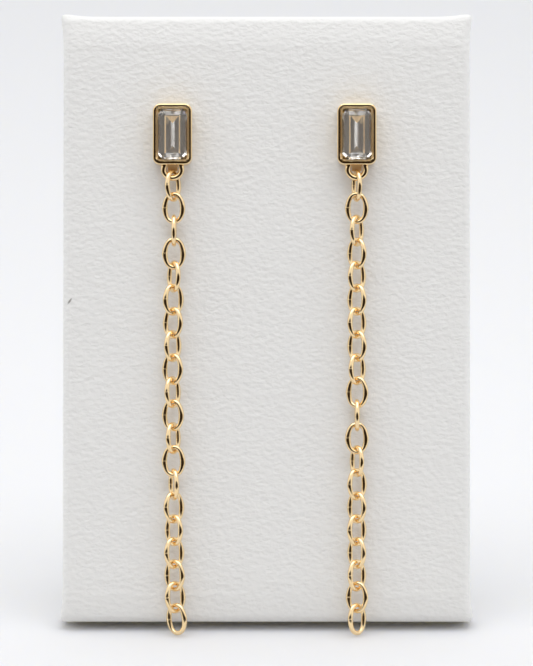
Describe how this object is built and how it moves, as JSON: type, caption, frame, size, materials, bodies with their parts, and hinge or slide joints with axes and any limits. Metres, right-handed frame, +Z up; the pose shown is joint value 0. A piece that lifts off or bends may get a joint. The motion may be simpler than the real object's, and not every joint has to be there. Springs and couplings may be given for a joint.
{
  "type": "chain drop earrings on display card",
  "caption": "Pair of gold oval-link chain drop earrings with step-cut clear stones in rectangular settings, pinned to a padded white card that leans back on an easel strut.",
  "frame": {"origin": "on the floor under the middle of the whole object", "axes": "+Z up, the card's face and the earrings look towards -Y and lean back, +X to the right seen from the front"},
  "size_m": [0.0516, 0.033, 0.0751],
  "materials": {
    "card_leatherette": "fine wrinkled white leatherette over padding",
    "strut_board": "paper-covered greyboard",
    "gold": "polished pale gold plating",
    "stone": "clear polished step cut"
  },
  "bodies": {
    "root": {"display_card": "card_leatherette", "easel_strut": "strut_board", "left_setting": "gold", "right_setting": "gold", "left_stone": "stone", "right_stone": "stone", "left_link_01": "gold", "left_link_02": "gold", "left_link_03": "gold", "left_link_04": "gold", "left_link_05": "gold", "left_link_06": "gold", "left_link_07": "gold", "left_link_08": "gold", "left_link_09": "gold", "left_link_10": "gold", "left_link_11": "gold", "left_link_12": "gold", "left_link_13": "gold", "left_link_14": "gold", "left_link_15": "gold", "left_link_16": "gold", "left_link_17": "gold", "left_link_18": "gold", "left_link_19": "gold", "left_link_20": "gold", "right_link_01": "gold", "right_link_02": "gold", "right_link_03": "gold", "right_link_04": "gold", "right_link_05": "gold", "right_link_06": "gold", "right_link_07": "gold", "right_link_08": "gold", "right_link_09": "gold", "right_link_10": "gold", "right_link_11": "gold", "right_link_12": "gold", "right_link_13": "gold", "right_link_14": "gold", "right_link_15": "gold", "right_link_16": "gold", "right_link_17": "gold", "right_link_18": "gold", "right_link_19": "gold", "right_link_20": "gold"}
  },
  "joints": []
}
